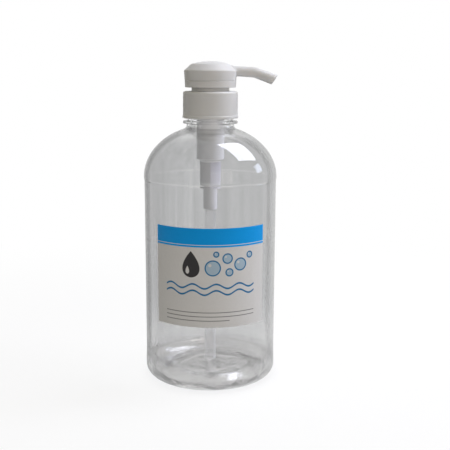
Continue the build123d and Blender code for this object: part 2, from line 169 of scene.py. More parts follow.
class Wire:
    # one socket of a shader tree; sums on it add Math nodes, and node() adds any other node
    def __init__(self, tree, socket=None):
        self.tree = tree
        self.socket = socket

    def node(self, kind, settings=None, sockets=None, output=0):
        made = self.tree.nodes.new(kind)
        for key, value in (settings or {}).items():
            setattr(made, key, value)
        for key, value in (sockets or {}).items():
            if isinstance(value, Wire):
                self.tree.links.new(value.socket, made.inputs[key])
            else:
                made.inputs[key].default_value = value
        return Wire(self.tree, made.outputs[output] if len(made.outputs) else None)

    def sibling(self, key):  # another output of the same node
        return Wire(self.tree, self.socket.node.outputs[key])

    def sums(self, operation, *values, clamp=False):
        return self.node("ShaderNodeMath", {"operation": operation, "use_clamp": clamp}, dict(enumerate(values)))

    def __add__(self, other):
        return self.sums("ADD", self, other)

    __radd__ = __add__

    def __sub__(self, other):
        return self.sums("SUBTRACT", self, other)

    def __rsub__(self, other):
        return self.sums("SUBTRACT", other, self)

    def __mul__(self, other):
        return self.sums("MULTIPLY", self, other)

    __rmul__ = __mul__

    def __truediv__(self, other):
        return self.sums("DIVIDE", self, other)

    def __rtruediv__(self, other):
        return self.sums("DIVIDE", other, self)

    def __pow__(self, other):
        return self.sums("POWER", self, other)

    def __rpow__(self, other):
        return self.sums("POWER", other, self)

    def __abs__(self):
        return self.sums("ABSOLUTE", self)

    def above(self, edge, soft):  # 0 below the edge, 1 above it, with a soft step between
        return self.sums("MULTIPLY_ADD", self, 1 / soft, 0.5 - edge / soft, clamp=True)

    def blendColour(self, first, second, how="MIX"):  # this wire runs from the first colour to the second
        settings = {"data_type": "RGBA", "blend_type": how}
        return self.node("ShaderNodeMix", settings, {0: self, 6: first, 7: second}, 2)


def newMaterial(name):  # an empty material, its tree and the object's own coordinates in it
    material = bpy.data.materials.new(name)
    material.use_nodes = True
    material.node_tree.nodes.clear()
    wire = Wire(material.node_tree)
    return material, wire, wire.node("ShaderNodeTexCoord", output="Object")


def noiseOn(wire, place, scale, detail=2.0, rough=0.5):  # three scales stretch the noise
    if isinstance(scale, tuple):
        place, scale = wire.node("ShaderNodeMapping", {}, {"Vector": place, "Scale": scale}), 1.0
    sockets = {"Vector": place, "Scale": scale, "Detail": detail, "Roughness": rough}
    return wire.node("ShaderNodeTexNoise", {}, sockets)


def bumped(wire, height, strength, distance, **under):
    sockets = {"Height": height, "Strength": strength, "Distance": distance, **under}
    return wire.node("ShaderNodeBump", {}, sockets)


def axesOf(wire, vector):  # x, y and z of a vector
    x = wire.node("ShaderNodeSeparateXYZ", {}, {0: vector})
    return x, x.sibling(1), x.sibling(2)


def lengthOf(wire, vector):
    return wire.node("ShaderNodeVectorMath", {"operation": "LENGTH"}, {0: vector}, "Value")


def facingOf(wire):  # 0 where the surface looks at the viewer, 1 where it is seen edge on
    return wire.node("ShaderNodeLayerWeight", {}, {"Blend": 0.5}, "Facing")


def principled(wire, sockets, **settings):
    return wire.node("ShaderNodeBsdfPrincipled", settings, sockets)


def passing(wire, tint):
    return wire.node("ShaderNodeBsdfTransparent", {}, {"Color": grey(tint)})


def mixed(wire, share, first, second):
    return wire.node("ShaderNodeMixShader", {}, {0: share, 1: first, 2: second})


def showOn(wire, surface, **more):
    wire.node("ShaderNodeOutputMaterial", {}, {"Surface": surface, **more})


def grey(value, warm=0.0):
    return (value * (1 + warm), value, value * (1 - warm), 1)


# clear blown plastic: grey tint with faint upright draw streaks, paler near the base; its skin is slightly wavy,
# with ripples and a gloss at the base
# painted light: paler at the neck, a painted highlight line along the shoulder; painted shade: darker on the -X side
clearSpec = dict(
    tint=0.685, warm=-0.004, ior=1.57, polish=0.015, shadowTint=0.94, soak=60.0, soakColour=(0.49, 0.5, 0.49, 1),
    streak=0.15, streakScale=(150, 150, 3), streakRough=0.6, calm=0.6, calmSoft=0.03,  # calmer towards +X
    neckLightTint=0.98, neckLow=0.158, neckSoft=0.008, lowTint=0.81, lowHigh=0.036, lowSoft=0.02,
    footTint=0.65, footWarm=0.012, footHigh=0.0095, footSoft=0.008,
    shoulderHighlightTint=0.77, lineHigh=0.1302, lineHalf=0.0004, lineSoft=0.0005,
    shadeSideTint=0.88, shadeSideX=-0.028, shadeSideSoft=0.026,  # painted shade on the -X side
    scuff=0.05, scuffScale=900.0, scuffRough=0.65, scuffFrom=0.62, scuffSoft=0.2,
    wave=0.10, waveScale=(38, 38, 16), waveRise=0.0006,
    lowWave=90.0, lowWaveScale=(95, 95, 150), lowWaveHigh=0.016, lowWaveSoft=0.02,
    rings=26.0, ringBend=8.0, ringRise=0.0006, ringHigh=0.012, ringSoft=0.012,
    glossIor=2.5, glossRough=0.02, glossHigh=0.012, glossSoft=0.008,
    sideSoft=0.05,  # from the -X side to the +X side
    foldFrom=0.65, foldFromSoft=0.08, foldTo=0.77, foldToSoft=0.06, foldShift=0.11, foldLow=0.03, foldLowSoft=0.02,
    foldShare=0.5, foldTint=0.80,
    rimMiddle=0.87, rimSoft=0.5, rimShare=0.8, rimTint=0.94, rimShadeTint=0.34,
    rootLow=0.1588, rootHigh=0.1638, rootSoft=0.0022, rootShare=0.78, rootTint=0.985,
    rootSides=0.55, rootSideX=0.01, rootSideSoft=0.003)


def clearPlastic():
    s = clearSpec
    material, wire, place = newMaterial("clearPlastic")
    x, _, z = axesOf(wire, place)
    streak = noiseOn(wire, place, s["streakScale"], 3.0, s["streakRough"])
    wave = noiseOn(wire, place, s["waveScale"], 1.0)
    lowWave = noiseOn(wire, place, s["lowWaveScale"], 3.0)
    scuff = noiseOn(wire, place, s["scuffScale"], 3.0, s["scuffRough"])
    rings = wire.node("ShaderNodeTexWave", {"wave_type": "RINGS", "rings_direction": "Z"}, {
        "Vector": place, "Scale": s["rings"], "Distortion": s["ringBend"], "Detail": 2.0, "Detail Scale": 1.0}, "Fac")
    dark, light = grey(s["tint"] - s["streak"], s["warm"]), grey(s["tint"] + s["streak"], s["warm"])
    calm = s["calm"] * x.above(0.0, s["calmSoft"])
    tone = calm.blendColour(streak.blendColour(dark, light), grey(s["tint"], s["warm"]))
    # painted light: the tint is paler at the neck, against the collar's shade
    tone = z.above(s["neckLow"], s["neckSoft"]).blendColour(tone, grey(s["neckLightTint"]))
    tone = z.above(s["lowHigh"], s["lowSoft"]).blendColour(grey(s["lowTint"]), tone)
    tone = z.above(s["footHigh"], s["footSoft"]).blendColour(grey(s["footTint"], s["footWarm"]), tone)
    # painted highlight: a paler band of tint along the shoulder
    beside = abs(z - s["lineHigh"]).above(s["lineHalf"], s["lineSoft"])
    tone = beside.blendColour(grey(s["shoulderHighlightTint"]), tone)
    # painted shade: the tint is darker on the -X side
    shadeSideMask = 1 - x.above(s["shadeSideX"], s["shadeSideSoft"])
    tone = shadeSideMask.blendColour(tone, grey(s["shadeSideTint"]), "MULTIPLY")
    ripple = wave + s["lowWave"] * lowWave * (1 - z.above(s["lowWaveHigh"], s["lowWaveSoft"]))
    skin = bumped(wire, ripple, s["wave"], s["waveRise"])
    skin = bumped(wire, rings * (1 - z.above(s["ringHigh"], s["ringSoft"])), 1.0, s["ringRise"], Normal=skin)
    body = principled(wire, {
        "Base Color": tone, "Normal": skin, "IOR": s["ior"], "Transmission Weight": 1.0,
        "Roughness": s["polish"] + scuff.above(s["scuffFrom"], s["scuffSoft"]) * s["scuff"],
        "Coat Weight": 1 - z.above(s["glossHigh"], s["glossSoft"]),
        "Coat IOR": s["glossIor"], "Coat Roughness": s["glossRough"]}, distribution="GGX")
    # seen edge on, the thin wall shows a second edge inside its outline, and lets light pass along its rim
    facing, plusSide = facingOf(wire), x.above(0.0, s["sideSoft"])
    slant = facing + s["foldShift"] * plusSide
    fold = slant.above(s["foldFrom"], s["foldFromSoft"]) * (1 - slant.above(s["foldTo"], s["foldToSoft"]))
    fold = fold * z.above(s["foldLow"], s["foldLowSoft"]) * s["foldShare"]
    body = mixed(wire, fold, body, passing(wire, s["foldTint"]))
    # the rim passes less light on the -X side and more on the +X side: painted shade and painted light
    edge = mixed(wire, plusSide, passing(wire, s["rimShadeTint"]), passing(wire, s["rimTint"]))
    body = mixed(wire, facing.above(s["rimMiddle"], s["rimSoft"]) * s["rimShare"], body, edge)
    # the neck's root is clearer, less so at its two sides
    root = z.above(s["rootLow"], s["rootSoft"]) * (1 - z.above(s["rootHigh"], s["rootSoft"]))
    root = root * (1 - s["rootSides"] * abs(x).above(s["rootSideX"], s["rootSideSoft"])) * s["rootShare"]
    body = mixed(wire, root, body, passing(wire, s["rootTint"]))
    shadowRay = wire.node("ShaderNodeLightPath", output="Is Shadow Ray")
    soak = wire.node("ShaderNodeVolumeAbsorption", {}, {"Color": s["soakColour"], "Density": s["soak"]})
    showOn(wire, mixed(wire, shadowRay, body, passing(wire, s["shadowTint"])), Volume=soak)
    return material


# moulded white plastic: soft flow clouds, a fine satin grain and a light gloss
whiteSpec = dict(warm=0.004, cloudScale=90.0, grainScale=2400.0, rough=0.42, roughSpan=0.14, roughGrain=0.06,
                 grain=0.05, grainRise=0.0001, ior=1.49, gloss=0.28, depth=0.35, depthRadius=(1.0, 0.9, 0.8),
                 depthScale=0.003)


def mouldedWhite(name, dark, light):
    s = whiteSpec
    material, wire, place = newMaterial(name)
    cloud = noiseOn(wire, place, s["cloudScale"], 3.0)
    grain = noiseOn(wire, place, s["grainScale"])
    showOn(wire, principled(wire, {
        "Base Color": cloud.blendColour(grey(dark, s["warm"]), grey(light, s["warm"])),
        "Roughness": s["rough"] + s["roughSpan"] * (cloud - 0.5) + s["roughGrain"] * grain,
        "IOR": s["ior"], "Specular IOR Level": s["gloss"], "Subsurface Weight": s["depth"],
        "Subsurface Radius": s["depthRadius"], "Subsurface Scale": s["depthScale"],
        "Normal": bumped(wire, grain, s["grain"], s["grainRise"])}))
    return material


# milky natural plastic: each of the housing's parts is paler and cooler towards +X, painted light on its lit side;
# pale bands at the lower edges of its steps and its paler top are painted light against the shade there
# rows from the foot up: (height where the part begins, soft step, x where it changes, soft step, two colours)
housingParts = ((0.1000, 0.0008, 0.0014, 0.0036, grey(0.65), (0.86, 0.86, 0.91, 1)),
                (0.1250, 0.0004, 0.0000, 0.0006, grey(0.78), (0.76, 0.76, 0.80, 1)),
                (0.1270, 0.0012, 0.0000, 0.0006, grey(0.54), (0.635, 0.63, 0.70, 1)),
                (0.1406, 0.0006, 0.0000, 0.0060, grey(1.00), grey(1.00)),
                (0.1424, 0.0006, 0.0050, 0.0076, grey(0.62), (0.90, 0.90, 0.94, 1)),
                (0.1570, 0.0060, 0.0000, 0.0060, grey(0.78), grey(0.78)))
# the tube is cooler towards +X: painted light on its lit side
tubeParts = ((0.0, 0.001, 0.0, 0.004, grey(0.98), (0.97, 0.98, 1, 1)),)
milkySpec = dict(flowScale=(160, 160, 40), roughSpan=0.10, ior=1.51, grainScale=1800.0, grain=0.05, grainRise=0.0001,
                 rimMiddle=0.45, rimSoft=0.3, rimVeil=0.22)


def milkyPlastic(name, parts, clouded, veil, rough):
    s = milkySpec
    material, wire, place = newMaterial(name)
    cloud = noiseOn(wire, place, s["flowScale"], 3.0)
    grain = noiseOn(wire, place, s["grainScale"])
    x, _, z = axesOf(wire, place)
    tone = grey(1.0)
    for low, lowSoft, edge, edgeSoft, dark, light in parts:
        # each part runs from its colour on the -X side to its painted-light colour on the +X side
        tone = z.above(low, lowSoft).blendColour(tone, x.above(edge, edgeSoft).blendColour(dark, light))
    body = principled(wire, {
        "Base Color": cloud.blendColour(tone, grey(clouded), "MULTIPLY"),
        "Roughness": rough + s["roughSpan"] * (cloud - 0.5), "IOR": s["ior"],
        "Normal": bumped(wire, grain, s["grain"], s["grainRise"])})
    if veil < 1:  # a thin wall is a light veil, closer along its two sides
        rim = facingOf(wire).above(s["rimMiddle"], s["rimSoft"])
        body = mixed(wire, veil + s["rimVeil"] * rim, passing(wire, 1.0), body)
    showOn(wire, body)
    return material


# soft seals, the spring's drawn wire and the glass ball, mostly hidden inside
sealSpec = dict(scale=300.0, dark=grey(0.58), light=grey(0.66), rough=0.5, roughSpan=0.12, bump=0.05, bumpRise=0.0001)
steelSpec = dict(scale=(900, 900, 3000), dark=(0.50, 0.50, 0.51, 1), light=(0.64, 0.64, 0.64, 1), rough=0.22,
                 roughSpan=0.16)
glassSpec = dict(scale=700.0, dark=(0.80, 0.86, 0.84, 1), light=(0.88, 0.92, 0.90, 1), rough=0.02, roughSpan=0.04,
                 ior=1.5, clear=0.9)


def softSeal():
    s = sealSpec
    material, wire, place = newMaterial("softSeal")
    cloud = noiseOn(wire, place, s["scale"], 3.0)
    showOn(wire, principled(wire, {
        "Base Color": cloud.blendColour(s["dark"], s["light"]), "Roughness": s["rough"] + s["roughSpan"] * cloud,
        "Normal": bumped(wire, cloud, s["bump"], s["bumpRise"])}))
    return material


def springSteel():
    s = steelSpec
    material, wire, place = newMaterial("springSteel")
    drawn = noiseOn(wire, place, s["scale"])
    showOn(wire, principled(wire, {
        "Base Color": drawn.blendColour(s["dark"], s["light"]), "Roughness": s["rough"] + s["roughSpan"] * drawn,
        "Metallic": 1.0}))
    return material


def ballGlass():
    s = glassSpec
    material, wire, place = newMaterial("ballGlass")
    cloud = noiseOn(wire, place, s["scale"])
    showOn(wire, principled(wire, {
        "Base Color": cloud.blendColour(s["dark"], s["light"]), "Roughness": s["rough"] + s["roughSpan"] * cloud,
        "IOR": s["ior"], "Transmission Weight": s["clear"]}))
    return material


clear = clearPlastic()
white = mouldedWhite("mouldedWhite", dark=0.75, light=0.80)
# a paler copy of the moulded white: painted light for the chaplet, which sits in shade
paintedLightWhite = mouldedWhite("paintedLightWhite", dark=0.92, light=0.96)
milkyHousing = milkyPlastic("milkyHousing", housingParts, clouded=0.95, veil=1.0, rough=0.20)
milkyTube = milkyPlastic("milkyTube", tubeParts, clouded=0.98, veil=0.09, rough=0.30)
seal = softSeal()
steel = springSteel()
glass = ballGlass()
print("materials made")


# bottle: turned shell with punt, foot ring, heel, recessed label panel, domed shoulder, support ring and thread
# pairs named ...Run say where one run of rows ends and the next begins
bottleSpec = dict(
    radius=42.5, wall=0.9, heel=7.0, innerHeel=8.0, footInner=29.5, footRound=1.6, columns=160,
    puntEdge=24.5, punt=5.0, puntRound=4.0, puntRun=(2.2, 2.6), puntRows=20, floorRows=24,
    gate=2.2, gateDrop=0.8, gateEdge=0.3, gateRoot=0.25, gateRun=(1.2, 1.6),
    panelLow=9.0, panelHigh=130.0, panelDepth=0.3, panelFade=10.0, panelRound=12.0, panelStep=1.0,
    panelRun=(30.0, 31.0), shoulder=131.0, rise=33.0, domeStart=0.5, domeCut=4.5, domeRows=56, domeLead=0.2,
    caveDrop=0.5, neck=15.05, neckBase=161.862, neckRound=2.8, ring=17.4, ringLow=164.762, ringHigh=166.462,
    ringEdge=0.5, ringRoot=0.4, ringRun=(1.1, 1.3), finish=14.55, finishRows=84, lip=180.812, lipEdge=0.4,
    lipRun=(0.8, 0.9), bore=12.7,
    threadStart=172.012, threadPitch=4.233, threadTurns=1.5, threadDepth=1.35, threadRoot=2.2, threadCrest=0.9,
    ripple=0.22, rippleCount=7, rippleTwist=0.4, rippleAt=6.0, rippleWide=3.5, rippleReach=0.01)


def bottleSheet():
    # outline (r, z) turned once round Z, with the thread added to r and the punt's ripple to z
    b = bottleSpec
    inner, innerRise, floor = b["radius"] - b["wall"], b["rise"] - b["wall"], b["punt"] + b["wall"]
    panel, gateLow = b["radius"] - b["panelDepth"], b["punt"] - b["gateDrop"]
    innerNeck = b["shoulder"] + innerRise * (1 - (b["bore"] / inner) ** 2) ** 0.5
    # the dome and the cave under it stop short of the neck, where an arc takes over
    neckAngle = np.degrees(acos(b["neck"] / b["radius"])) - b["domeCut"]
    boreAngle = np.degrees(acos(b["bore"] / inner)) - b["domeCut"]
    dome = oval(b["shoulder"], b["radius"], b["rise"], b["domeStart"], neckAngle, b["domeRows"])
    cave = oval(b["shoulder"], inner, innerRise, boreAngle, b["domeStart"], b["domeRows"])
    domeEnd = dome[-1] + (dome[-1] - dome[-2]) * b["domeLead"]
    caveStart = cave[0] + (cave[0] - cave[1]) * b["domeLead"]
    gateEnd, puntStart = b["gate"] + b["gateRun"][1], b["puntEdge"] - b["puntRun"][1]
    finishLow, finishHigh = b["ringHigh"] + b["ringRun"][1], b["lip"] - b["lipRun"][1]
    outline = np.concatenate([
        roundedRun([(0, gateLow, 0), (b["gate"], gateLow, b["gateEdge"]), (b["gate"], b["punt"], b["gateRoot"]),
                    (b["gate"] + b["gateRun"][0], b["punt"], 0)]),
        straight((gateEnd, b["punt"]), (puntStart, b["punt"]), b["puntRows"]),
        roundedRun([(b["puntEdge"] - b["puntRun"][0], b["punt"], 0), (b["puntEdge"], b["punt"], b["puntRound"]),
                    (b["footInner"], 0, b["footRound"]), (b["radius"], 0, b["heel"]),
                    (b["radius"], b["panelLow"], b["panelRound"]),
                    (panel, b["panelLow"] + b["panelFade"], b["panelRound"]),
                    (panel, b["panelRun"][0], 0)], steps=10),
        roundedRun([(panel, b["panelRun"][1], 0), (panel, b["panelHigh"] - b["panelStep"], b["panelStep"]),
                    (b["radius"], b["panelHigh"], b["panelStep"]), (b["radius"], b["shoulder"], 0)]),
        dome,
        roundedRun([(*domeEnd, 0), (b["neck"], b["neckBase"], b["neckRound"]),
                    (b["neck"], b["ringLow"], b["ringRoot"]), (b["ring"], b["ringLow"], b["ringEdge"]),
                    (b["ring"], b["ringHigh"], b["ringEdge"]), (b["finish"], b["ringHigh"], b["ringEdge"]),
                    (b["finish"], b["ringHigh"] + b["ringRun"][0], 0)]),
        straight((b["finish"], finishLow), (b["finish"], finishHigh), b["finishRows"]),
        roundedRun([(b["finish"], b["lip"] - b["lipRun"][0], 0), (b["finish"], b["lip"], b["lipEdge"]),
                    (b["bore"], b["lip"], b["lipEdge"]), (b["bore"], innerNeck, b["neckRound"]), (*caveStart, 0)]),
        cave,
        roundedRun([(inner, b["shoulder"] - b["caveDrop"], 0), (inner, b["wall"], b["innerHeel"]),
                    (b["footInner"], b["wall"], b["footRound"]), (b["puntEdge"], floor, b["puntRound"]),
                    (b["puntEdge"] - b["puntRun"][0], floor, 0)], steps=10),
        straight((puntStart, floor), (0, floor), b["floorRows"])])
    r, z, u = outline[:, :1], outline[:, 1:], roundAngles(b["columns"])
    ridge = b["threadDepth"] * threadLift(u, z, b) * (np.abs(r - b["finish"]) < sameRadius)
    # the punt ripples: height cos(count u + twist r) exp(-((r - at) / wide)^2), the same on both of its faces
    onPunt = (z > b["punt"] - b["rippleReach"]) & (z < floor + b["rippleReach"])
    ripple = b["ripple"] * np.cos(b["rippleCount"] * u + b["rippleTwist"] * r) * onPunt
    ripple = ripple * np.exp(-(((r - b["rippleAt"]) / b["rippleWide"]) ** 2))
    return turned(r + ridge, z + ripple, b["columns"])


makePiece("bottleShell", [(bottleSheet(), False, True)], clear, "bottle", ["bottle"])


# label: thin film round the front of the recessed panel, with its own map in millimetres from the middle of its foot
# print on it: a drop and its shine (x, foot, height, half width), bubbles (x, y, radius), two waves (y)
# and three rules (y, right end)
labelSpec = dict(
    inside=42.23, outside=42.35, low=42.9, high=104.7, arc=100.0, columns=72, edge=0.04, gluedEdge=0.02,
    mottleScale=700.0, broadScale=45.0, rough=0.34, roughSpan=0.16, ior=1.5, gloss=0.2, bump=0.06, bumpMottle=0.1,
    bumpRise=0.0004, half=29.0, fine=0.12, soft=0.2, broadSoft=0.3,
    panel=((0.76, 0.755, 0.75, 1), (0.82, 0.815, 0.81, 1)), glued=(0.94, 0.94, 0.93, 1),
    band=11.6, bandInk=((0.0, 0.36, 0.93, 1), (0.002, 0.40, 1.0, 1)),
    bandRule=1.3, bandRuleHalf=40.0, bandRuleInk=(0.72, 0.80, 0.86, 1),
    drop=(-12.0, 31.4, 16.6, 5.6), dropInk=(0.035, 0.033, 0.034, 1), dropShine=(-14.2, 33.6, 5.2, 1.3),
    bubbles=((1.5, 37.4, 4.6), (10.6, 43.2, 2.9), (11.8, 34.6, 2.2), (18.9, 39.2, 3.7), (3.6, 45.9, 1.5),
             (25.4, 44.6, 1.8)),
    bubbleInk=(0.46, 0.60, 0.72, 1), bubbleLine=0.4, shineAside=0.38, shineSize=0.22, lineInk=(0.02, 0.19, 0.42, 1),
    waves=(26.0, 22.0), waveRise=1.4, waveLength=14.5, waveLine=1.1, waveSoft=0.18,
    rules=((9.4, 29.0), (6.8, 29.0), (4.2, 12.0)), ruleLine=0.45, ruleInk=(0.20, 0.195, 0.20, 1))


def labelFilm():
    s = labelSpec
    material, wire, place = newMaterial("labelFilm")
    x, y, _ = axesOf(wire, wire.node("ShaderNodeUVMap", {"uv_map": "labelMap"}))
    mottle = noiseOn(wire, place, s["mottleScale"], 3.0)
    broad = noiseOn(wire, place, s["broadScale"])
    bandLow = s["high"] - s["low"] - s["band"]

    def awayFrom(cx, cy):  # distance from a point of the label
        dx, dy = x - cx, y - cy
        return (dx * dx + dy * dy) ** 0.5

    def drop(cx, low, high, half):
        # filled drop: half width 2.6 half sqrt(t) (1 - t), where t runs from 0 at its foot to 1 at its tip
        t = wire.sums("MAXIMUM", (y - low) / high, 0.0)
        return (t ** 0.5 * (1 - t) * (2.6 * half) - abs(x - cx)).above(s["broadSoft"] / 2, s["broadSoft"])

    def swell(cy):  # level wave line y = cy + rise sin(2 pi x / length)
        rise = wire.sums("SINE", x * (2 * pi / s["waveLength"])) * s["waveRise"]
        line = 1 - abs(y - cy - rise).above(s["waveLine"] / 2, s["waveSoft"])
        return line * (1 - abs(x).above(s["half"], s["broadSoft"]))

    def rule(cy, left, right):  # thin level line
        across = x.above(left, s["soft"]) * (1 - x.above(right, s["soft"]))
        return (1 - abs(y - cy).above(s["ruleLine"] / 2, s["fine"])) * across

    skin, rings, shine = 0.0, 0.0, drop(*s["dropShine"])
    for cx, cy, radius in s["bubbles"]:
        away, aside = awayFrom(cx, cy), s["shineAside"] * radius
        skin = skin + (1 - away.above(radius, s["soft"]))
        rings = rings + (1 - abs(away - radius).above(s["bubbleLine"], s["soft"]))
        shine = shine + (1 - awayFrom(cx - aside, cy + aside).above(s["shineSize"] * radius, s["soft"]))
    waves = sum(swell(cy) for cy in s["waves"])
    rules = sum(rule(cy, -s["half"], right) for cy, right in s["rules"])
    bandRule = rule(bandLow + s["bandRule"], -s["bandRuleHalf"], s["bandRuleHalf"])
    panel = mottle.blendColour(*s["panel"])
    tone = y.above(bandLow, s["fine"]).blendColour(panel, mottle.blendColour(*s["bandInk"]))
    for printed, ink in ((skin, s["bubbleInk"]), (rings, s["lineInk"]), (drop(*s["drop"]), s["dropInk"]),
                         (shine, panel), (waves, s["lineInk"]), (rules, s["ruleInk"]), (bandRule, s["bandRuleInk"])):
        tone = printed.blendColour(tone, ink)
    # the glued side is plain: it lies nearer to the axis than the film's middle
    flat = wire.node("ShaderNodeVectorMath", {"operation": "MULTIPLY"}, {0: place, 1: (1, 1, 0)})
    middle, third = (s["inside"] + s["outside"]) / 2 * mm, (s["outside"] - s["inside"]) / 3 * mm
    tone = lengthOf(wire, flat).above(middle, third).blendColour(s["glued"], tone)
    showOn(wire, principled(wire, {
        "Base Color": tone, "Roughness": s["rough"] + s["roughSpan"] * broad, "IOR": s["ior"],
        "Specular IOR Level": s["gloss"],
        "Normal": bumped(wire, broad + s["bumpMottle"] * mottle, s["bump"], s["bumpRise"])}))
    return material


def labelPiece():
    # thin section (r, z) carried along an arc; its map is (angle times radius, height above its foot)
    s = labelSpec
    section = roundedRun([(s["inside"], s["low"], s["gluedEdge"]), (s["outside"], s["low"], s["edge"]),
                          (s["outside"], s["high"], s["edge"]), (s["inside"], s["high"], s["gluedEdge"])],
                         closed=True, steps=4)
    grid = arcBlock(section, -90 - s["arc"] / 2, -90 + s["arc"] / 2, s["columns"])
    piece = makePiece("labelFront", [(grid, True, False)], labelFilm(), "bottle", ["front_label"])
    mesh = piece.data
    spots = np.empty(len(mesh.vertices) * 3)
    mesh.vertices.foreach_get("co", spots)
    spots = spots.reshape(-1, 3) / mm
    corner = np.empty(len(mesh.loops), int)
    mesh.loops.foreach_get("vertex_index", corner)
    flat = np.stack([np.arctan2(spots[:, 0], -spots[:, 1]) * s["outside"], spots[:, 2] - s["low"]], -1)
    mesh.uv_layers.new(name="labelMap").data.foreach_set("uv", flat[corner].ravel())


labelPiece()


# collar: screw cap with a bead at its foot, a rounded top edge and an inside thread
collarSpec = dict(low=168.112, high=184.872, bore=16.15, boreEdge=0.25, boreRun=(0.6, 0.75), boreRows=84, top=17.3,
                  rounding=1.3, bead=17.7, beadEdge=0.35, beadHigh=169.6, beadEnd=170.05, beadStep=0.3, beadRound=0.2,
                  plate=183.412, plateRoot=0.3, hole=11.3, holeEdge=0.25, holeFoot=0.15, columns=144,
                  threadStart=169.895, threadPitch=4.233, threadTurns=1.5, threadDepth=1.35, threadRoot=1.95,
                  threadCrest=0.78)


def collarSheet():
    # outline (r, z) turned once round Z, with the thread taken off r in the bore
    c = collarSpec
    outline = np.concatenate([
        roundedRun([(c["bore"], c["low"] + c["boreRun"][0], 0), (c["bore"], c["low"], c["boreEdge"]),
                    (c["bead"], c["low"], c["beadEdge"]), (c["bead"], c["beadHigh"], c["beadRound"]),
                    (c["bead"] - c["beadStep"], c["beadEnd"], c["beadRound"]), (c["top"], c["high"], c["rounding"]),
                    (c["hole"], c["high"], c["holeEdge"]), (c["hole"], c["plate"], c["holeFoot"]),
                    (c["bore"], c["plate"], c["plateRoot"]), (c["bore"], c["plate"] - c["boreRun"][0], 0)]),
        straight((c["bore"], c["plate"] - c["boreRun"][1]), (c["bore"], c["low"] + c["boreRun"][1]), c["boreRows"])])
    r, z, u = outline[:, :1], outline[:, 1:], roundAngles(c["columns"])
    ridge = c["threadDepth"] * threadLift(u, z, c) * (np.abs(r - c["bore"]) < sameRadius)
    return turned(r - ridge, z, c["columns"])


makePiece("collarCap", [(collarSheet(), True, True)], white, "collar", ["closure_collar"])


# chaplet: cup standing up out of the collar, with two locking lugs towards front and back
chapletSpec = dict(bore=8.88, foot=183.242, footRadius=11.0, step=184.902, radius=11.9, high=193.622, cup=9.2,
                   floorHigh=190.412, floorLow=189.112, hole=4.05, lugIn=10.8, lugOut=13.0, lugLow=191.622,
                   lugHigh=193.222, lugArc=50.0, fine=0.1, root=0.15, edge=0.2, lugEdge=0.25, cupEdge=0.3, rim=0.4,
                   columns=112, lugColumns=24)


def chapletPiece():
    # closed outline (r, z) turned once round Z, and the section of a lug carried along two arcs
    c = chapletSpec
    outline = roundedRun([(c["bore"], c["foot"], c["fine"]), (c["footRadius"], c["foot"], c["edge"]),
                          (c["footRadius"], c["step"], c["root"]), (c["radius"], c["step"], c["edge"]),
                          (c["radius"], c["high"], c["rim"]), (c["cup"], c["high"], c["cupEdge"]),
                          (c["cup"], c["floorHigh"], c["cupEdge"]), (c["hole"], c["floorHigh"], c["edge"]),
                          (c["hole"], c["floorLow"], c["fine"]), (c["bore"], c["floorLow"], c["edge"])], closed=True)
    lug = roundedRun([(c["lugIn"], c["lugLow"], c["edge"]), (c["lugOut"], c["lugLow"], c["lugEdge"]),
                      (c["lugOut"], c["lugHigh"], c["lugEdge"]), (c["lugIn"], c["lugHigh"], c["edge"])], closed=True)
    sheets = [(turnedRun(outline, c["columns"]), True, True)]
    for middle in (90, 270):
        block = arcBlock(lug, middle - c["lugArc"] / 2, middle + c["lugArc"] / 2, c["lugColumns"])
        sheets.append((block, True, False))
    # the chaplet wears the paler white: painted light where it sits in shade between the head and the collar
    makePiece("lockChaplet", sheets, paintedLightWhite, "pump_core", ["lock_chaplet"])


chapletPiece()


# head skirt: ring below the seam, with a spigot up into the head and two locking lugs inside
skirtSpec = dict(bore=13.9, low=187.222, foot=16.0, seam=191.322, seamRadius=16.25, chamfer=0.25, spigot=15.0,
                 high=193.822, lugIn=12.1, lugOut=15.0, lugLow=188.622, lugHigh=190.222, lugArc=60.0, fine=0.1,
                 seamEdge=0.12, edge=0.2, lugEdge=0.25, spigotEdge=0.25, footEdge=0.35, columns=144, lugColumns=28)


def skirtPiece():
    # closed outline (r, z) turned once round Z, and the section of a lug carried along two arcs
    s = skirtSpec
    outline = roundedRun([(s["bore"], s["low"], s["edge"]), (s["foot"], s["low"], s["footEdge"]),
                          (s["seamRadius"], s["seam"] - s["chamfer"], s["seamEdge"]),
                          (s["seamRadius"] - s["chamfer"], s["seam"], s["fine"]), (s["spigot"], s["seam"], s["fine"]),
                          (s["spigot"], s["high"], s["spigotEdge"]), (s["bore"], s["high"], s["spigotEdge"])],
                         closed=True)
    lug = roundedRun([(s["lugIn"], s["lugLow"], s["lugEdge"]), (s["lugOut"], s["lugLow"], s["edge"]),
                      (s["lugOut"], s["lugHigh"], s["edge"]), (s["lugIn"], s["lugHigh"], s["lugEdge"])], closed=True)
    sheets = [(turnedRun(outline, s["columns"]), True, True)]
    for middle in (0, 180):
        block = arcBlock(lug, middle - s["lugArc"] / 2, middle + s["lugArc"] / 2, s["lugColumns"])
        sheets.append((block, True, False))
    makePiece("headSkirt", sheets, white, "head", ["head_skirt"])


skirtPiece()


